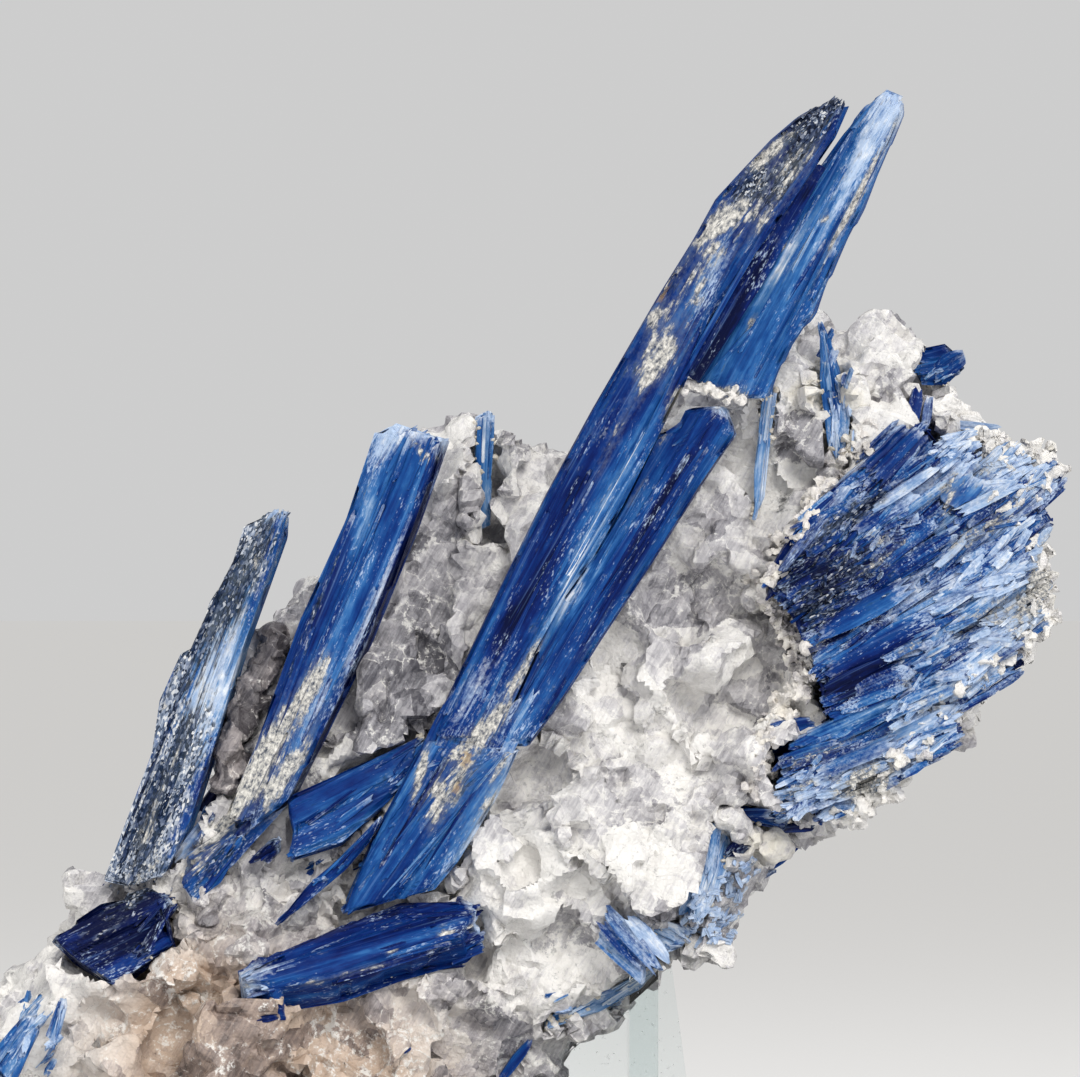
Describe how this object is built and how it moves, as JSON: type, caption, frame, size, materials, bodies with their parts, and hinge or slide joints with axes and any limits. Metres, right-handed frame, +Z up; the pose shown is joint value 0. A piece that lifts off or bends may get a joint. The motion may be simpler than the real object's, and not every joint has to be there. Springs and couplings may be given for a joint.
{
  "type": "kyanite blade cluster",
  "caption": "Long blue kyanite blades and a fan of short ones grown in a slab of broken quartz, held upright on a clear display stand.",
  "frame": {"origin": "middle of the underside of the stand's base plate, on the surface that it rests on", "axes": "+Z up; -Y is the show side, where the long blades stand out; +X is to the right seen from the show side, towards the fan of blades"},
  "size_m": [0.1573, 0.078, 0.1652],
  "materials": {
    "kyanite": "deep blue, finely striated, pearly on the cleavage faces",
    "mica_coated_kyanite": "blue blade under a dark, glittering mica crust",
    "kyanite_fan": "splintered blue blades with cream clay between them",
    "quartz": "translucent grey to milky white, broken glassy grains, stained brown low down",
    "clear_acrylic": "clear, polished"
  },
  "bodies": {
    "root": {"main_blade": "kyanite", "tall_side_blade": "kyanite", "low_side_blade": "kyanite", "foot_blade": "kyanite", "left_blade": "kyanite", "coated_blade": "mica_coated_kyanite", "needle_blade": "kyanite", "cross_blade": "kyanite", "sliver_blade": "kyanite", "low_blade": "kyanite", "corner_blade": "kyanite", "root_blade": "kyanite", "dark_stub": "kyanite", "corner_rod_long": "kyanite", "corner_rod_short": "kyanite", "rim_stub": "kyanite", "pale_blade": "kyanite", "pale_needle": "kyanite", "rim_blade_curved": "kyanite", "rim_blade_flat": "kyanite", "rim_blade_upright": "kyanite", "rim_blade_thin": "kyanite", "back_blade_long": "kyanite", "back_blade_short": "kyanite", "blade_fan": "kyanite_fan", "quartz_matrix": "quartz", "stand_plate": "clear_acrylic", "stand_upright": "clear_acrylic", "stand_rib": "clear_acrylic"}
  },
  "joints": []
}
